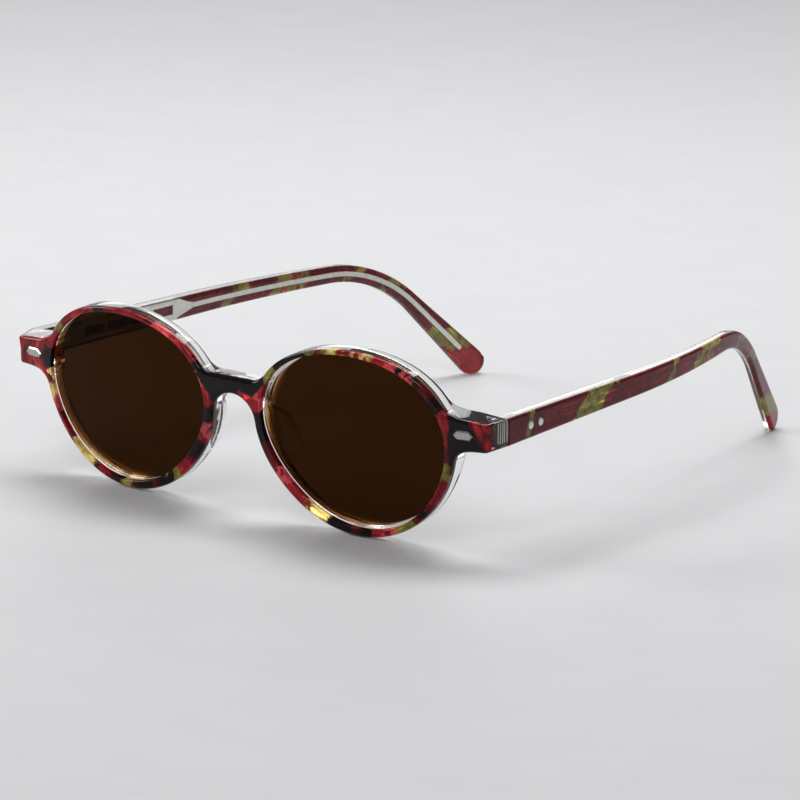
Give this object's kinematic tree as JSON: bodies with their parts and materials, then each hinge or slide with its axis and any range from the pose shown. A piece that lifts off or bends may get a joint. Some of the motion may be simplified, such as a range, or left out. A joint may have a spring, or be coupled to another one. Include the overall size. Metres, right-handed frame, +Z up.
{
  "type": "sunglasses",
  "caption": "Soft-round sunglasses with a laminated patterned acetate frame, brown lenses, barrel hinges and folding wire-cored temples.",
  "frame": {"origin": "on the table under the middle of the bounding box of the open sunglasses", "axes": "+X runs across the front to the right-hand side as seen from in front, +Y from the front back to the ear tips, +Z up from the table; right and left in the node names are as seen from in front"},
  "size_m": [0.1316, 0.1501, 0.0415],
  "materials": {
    "patterned_acetate": "polished translucent tortoise pattern",
    "clear_acetate": "polished clear",
    "lens": "tinted and polished",
    "steel": "satin",
    "polished_steel": "polished"
  },
  "bodies": {
    "front": {"front_skin": "patterned_acetate", "front_clear": "clear_acetate", "lens_right": "lens", "lens_left": "lens", "nose_pad_right": "clear_acetate", "nose_pad_left": "clear_acetate", "plaque_right": "polished_steel", "plaque_left": "polished_steel", "front_hinge_right": "steel", "front_hinge_left": "steel", "hinge_screw_right": "polished_steel", "hinge_screw_left": "polished_steel"},
    "temple_right": {"temple_hinge_right": "steel", "temple_skin_right": "patterned_acetate", "temple_clear_right": "clear_acetate", "core_wire_right": "steel", "temple_rivets_right": "polished_steel"},
    "temple_left": {"temple_hinge_left": "steel", "temple_skin_left": "patterned_acetate", "temple_clear_left": "clear_acetate", "core_wire_left": "steel", "temple_rivets_left": "polished_steel"}
  },
  "joints": [
    {"name": "temple_right_fold", "type": "hinge", "parent": "front", "child": "temple_right", "pos_m": [0.0617, -0.06421, 0.02697], "axis": [0, -0.0242, 0.9997], "range_deg": [0, 58]},
    {"name": "temple_left_fold", "type": "hinge", "parent": "front", "child": "temple_left", "pos_m": [-0.0617, -0.06421, 0.02697], "axis": [0, 0.0242, -0.9997], "range_deg": [0, 82]}
  ]
}
